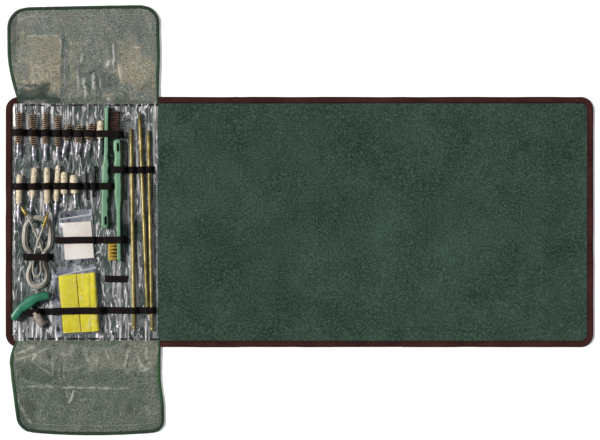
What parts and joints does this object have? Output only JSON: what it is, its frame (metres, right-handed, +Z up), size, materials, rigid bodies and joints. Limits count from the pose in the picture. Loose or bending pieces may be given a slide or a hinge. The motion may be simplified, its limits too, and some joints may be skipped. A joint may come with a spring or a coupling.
{
  "type": "tool roll",
  "caption": "Roll-up felt tool mat with a bound edge, two sewn flaps and a clear-faced panel whose elastic loops hold brushes, mops, rods, a cable, a handle and bags.",
  "frame": {"origin": "middle of the underside of the open mat and flaps, on the surface that it lies on", "axes": "+X along the mat from the tool panel to the free end, +Y across it towards the top flap, +Z up"},
  "size_m": [0.822, 0.601, 0.0182],
  "materials": {
    "felt": "dense green felt with a soft nap",
    "backing": "woven backing cloth",
    "binding": "dark brown woven binding tape",
    "clear_vinyl": "crinkled clear sheet",
    "flap_cloth": "grey-green cloth",
    "edging": "green overlocked thread",
    "hem": "sewn-down cloth strip",
    "elastic": "black-brown woven elastic",
    "bronze_bristle": "bronze wire bristles on a nickelled ferrule",
    "cotton_mop": "fluffy cotton on a nickelled ferrule",
    "black_tip": "blackened metal",
    "brass_rod": "dull drawn brass",
    "green_handle": "moulded green plastic, satin",
    "nylon_bristle": "dark brown nylon tufts",
    "brass_bristle": "golden wire tufts",
    "cable_coat": "pale grey coated cable",
    "brass_end": "turned brass",
    "emerald_grip": "moulded emerald plastic",
    "black_stem": "black plastic",
    "socket_metal": "tan anodised, satin",
    "bag_film": "thin clear film",
    "white_cotton": "woven cotton patches",
    "yellow_cloth": "folded polishing cloth"
  },
  "bodies": {
    "tool_panel": {"felt_tool_panel": "felt", "backing_tool_panel": "backing", "binding_tool_panel": "binding", "vinyl_cover": "clear_vinyl", "flap_hems": "hem", "strap_brushes": "elastic", "strap_mops": "elastic", "strap_rods": "elastic", "strap_cable": "elastic", "strap_patches": "elastic", "strap_spare": "elastic", "strap_bottom": "elastic"},
    "mat_inner": {"felt_inner": "felt", "backing_inner": "backing", "binding_inner": "binding"},
    "mat_middle": {"felt_middle": "felt", "backing_middle": "backing", "binding_middle": "binding"},
    "mat_outer": {"felt_outer": "felt", "backing_outer": "backing", "binding_outer": "binding"},
    "flap_top_body": {"flap_top": "flap_cloth", "flap_top_vinyl": "clear_vinyl", "flap_top_edging": "edging"},
    "flap_bottom_body": {"flap_bottom": "flap_cloth", "flap_bottom_vinyl": "clear_vinyl", "flap_bottom_edging": "edging"},
    "brush_1_tool": {"brush_1": "bronze_bristle"},
    "brush_2_tool": {"brush_2": "bronze_bristle"},
    "brush_3_tool": {"brush_3": "bronze_bristle"},
    "brush_4_tool": {"brush_4": "bronze_bristle"},
    "brush_5_tool": {"brush_5": "bronze_bristle"},
    "brush_6_tool": {"brush_6": "bronze_bristle"},
    "brush_7_tool": {"brush_7": "bronze_bristle"},
    "mop_1_tool": {"mop_1": "cotton_mop"},
    "mop_2_tool": {"mop_2": "cotton_mop"},
    "mop_3_tool": {"mop_3": "cotton_mop"},
    "mop_4_tool": {"mop_4": "cotton_mop"},
    "mop_5_tool": {"mop_5": "cotton_mop"},
    "mop_6_tool": {"mop_6": "cotton_mop"},
    "mop_7_tool": {"mop_7": "cotton_mop"},
    "spear_tip_tool": {"spear_tip": "black_tip"},
    "slotted_tip_tool": {"slotted_tip": "black_tip"},
    "rod_1_tool": {"rod_1": "brass_rod"},
    "rod_2_tool": {"rod_2": "brass_rod"},
    "rod_3_tool": {"rod_3": "brass_rod"},
    "nylon_brush": {"nylon_brush_handle": "green_handle", "nylon_brush_bristles": "nylon_bristle"},
    "brass_brush": {"brass_brush_handle": "green_handle", "brass_brush_bristles": "brass_bristle"},
    "cable": {"cable_hank": "cable_coat", "cable_end_left": "brass_end", "cable_end_right": "brass_end"},
    "tee_handle": {"tee_grip": "emerald_grip", "tee_stem": "black_stem"},
    "tee_swivel": {"tee_socket": "socket_metal"},
    "patches_pack": {"patches_bag": "bag_film", "patches": "white_cotton"},
    "cloth_pack": {"cloth_bag": "bag_film", "cloth": "yellow_cloth"}
  },
  "joints": [
    {"name": "flap_top_fold", "type": "hinge", "parent": "tool_panel", "child": "flap_top_body", "pos_m": [-0.2995, 0.1755, 0.012], "axis": [1, 0, 0], "range_deg": [0, 179.8]},
    {"name": "flap_bottom_fold", "type": "hinge", "parent": "tool_panel", "child": "flap_bottom_body", "pos_m": [-0.2995, -0.1755, 0.012], "axis": [-1, 0, 0], "range_deg": [0, 179.8]},
    {"name": "fold_inner", "type": "hinge", "parent": "tool_panel", "child": "mat_inner", "pos_m": [-0.195, 0, 0.015], "axis": [0, -1, 0], "range_deg": [0, 179.8]},
    {"name": "fold_middle", "type": "hinge", "parent": "mat_inner", "child": "mat_middle", "pos_m": [0.024, 0, 0.018], "axis": [0, -1, 0], "range_deg": [0, 179.8]},
    {"name": "fold_outer", "type": "hinge", "parent": "mat_middle", "child": "mat_outer", "pos_m": [0.261, 0, 0.021], "axis": [0, -1, 0], "range_deg": [0, 179.8]},
    {"name": "slide_brush_1", "type": "slide", "parent": "tool_panel", "child": "brush_1_tool", "axis": [-0.0279, -0.9996, 0], "range_m": [-0.04, 0]},
    {"name": "slide_brush_2", "type": "slide", "parent": "tool_panel", "child": "brush_2_tool", "axis": [0.0454, -0.999, 0], "range_m": [-0.04, 0]},
    {"name": "slide_brush_3", "type": "slide", "parent": "tool_panel", "child": "brush_3_tool", "axis": [0, -1, 0], "range_m": [-0.04, 0]},
    {"name": "slide_brush_4", "type": "slide", "parent": "tool_panel", "child": "brush_4_tool", "axis": [0, -1, 0], "range_m": [-0.04, 0]},
    {"name": "slide_brush_5", "type": "slide", "parent": "tool_panel", "child": "brush_5_tool", "axis": [-0.1874, -0.9823, 0], "range_m": [-0.026, 0]},
    {"name": "slide_brush_6", "type": "slide", "parent": "tool_panel", "child": "brush_6_tool", "axis": [-0.1149, -0.9934, 0], "range_m": [-0.026, 0]},
    {"name": "slide_brush_7", "type": "slide", "parent": "tool_panel", "child": "brush_7_tool", "axis": [-0.2028, -0.9792, 0], "range_m": [-0.04, 0]},
    {"name": "slide_mop_1", "type": "slide", "parent": "tool_panel", "child": "mop_1_tool", "axis": [-0.0314, -0.9995, 0], "range_m": [-0.02, 0]},
    {"name": "slide_mop_2", "type": "slide", "parent": "tool_panel", "child": "mop_2_tool", "axis": [-0.0941, -0.9956, 0], "range_m": [-0.007, 0]},
    {"name": "slide_mop_3", "type": "slide", "parent": "tool_panel", "child": "mop_3_tool", "axis": [0, -1, 0], "range_m": [-0.007, 0]},
    {"name": "slide_mop_4", "type": "slide", "parent": "tool_panel", "child": "mop_4_tool", "axis": [-0.061, -0.9981, 0], "range_m": [-0.005, 0]},
    {"name": "slide_mop_5", "type": "slide", "parent": "tool_panel", "child": "mop_5_tool", "axis": [0, -1, 0], "range_m": [-0.017, 0]},
    {"name": "slide_mop_6", "type": "slide", "parent": "tool_panel", "child": "mop_6_tool", "axis": [0.0698, -0.9976, 0], "range_m": [-0.022, 0]},
    {"name": "slide_mop_7", "type": "slide", "parent": "tool_panel", "child": "mop_7_tool", "axis": [-0.0436, -0.999, 0], "range_m": [-0.008, 0]},
    {"name": "slide_spear_tip", "type": "slide", "parent": "tool_panel", "child": "spear_tip_tool", "axis": [0.0767, -0.9971, 0], "range_m": [-0.028, 0]},
    {"name": "slide_slotted_tip", "type": "slide", "parent": "tool_panel", "child": "slotted_tip_tool", "axis": [-0.068, -0.9977, 0], "range_m": [-0.028, 0]},
    {"name": "slide_rod_1", "type": "slide", "parent": "tool_panel", "child": "rod_1_tool", "axis": [0.0154, -0.9999, 0], "range_m": [-0.225, 0]},
    {"name": "slide_rod_2", "type": "slide", "parent": "tool_panel", "child": "rod_2_tool", "axis": [0.0401, -0.9992, 0], "range_m": [-0.225, 0]},
    {"name": "slide_rod_3", "type": "slide", "parent": "tool_panel", "child": "rod_3_tool", "axis": [0.018, -0.9998, 0], "range_m": [-0.225, 0]},
    {"name": "slide_nylon_brush", "type": "slide", "parent": "tool_panel", "child": "nylon_brush", "axis": [-0.0122, -0.9999, 0], "range_m": [-0.028, 0]},
    {"name": "slide_brass_brush", "type": "slide", "parent": "tool_panel", "child": "brass_brush", "axis": [-0.0122, 0.9999, 0], "range_m": [-0.017, 0]},
    {"name": "slide_cable", "type": "slide", "parent": "tool_panel", "child": "cable", "axis": [0, -1, 0], "range_m": [-0.004, 0]},
    {"name": "slide_tee_handle", "type": "slide", "parent": "tool_panel", "child": "tee_handle", "axis": [0.5592, -0.829, 0], "range_m": [-0.004, 0]},
    {"name": "slide_patches_pack", "type": "slide", "parent": "tool_panel", "child": "patches_pack", "axis": [0.075, -0.9972, 0], "range_m": [-0.01, 0]},
    {"name": "slide_cloth_pack", "type": "slide", "parent": "tool_panel", "child": "cloth_pack", "axis": [-0.0785, 0.9969, 0], "range_m": [-0.075, 0]},
    {"name": "swivel_socket", "type": "hinge", "parent": "tee_handle", "child": "tee_swivel", "pos_m": [-0.3775, -0.114, 0.0107], "axis": [0.5592, -0.829, 0], "continuous": true}
  ]
}
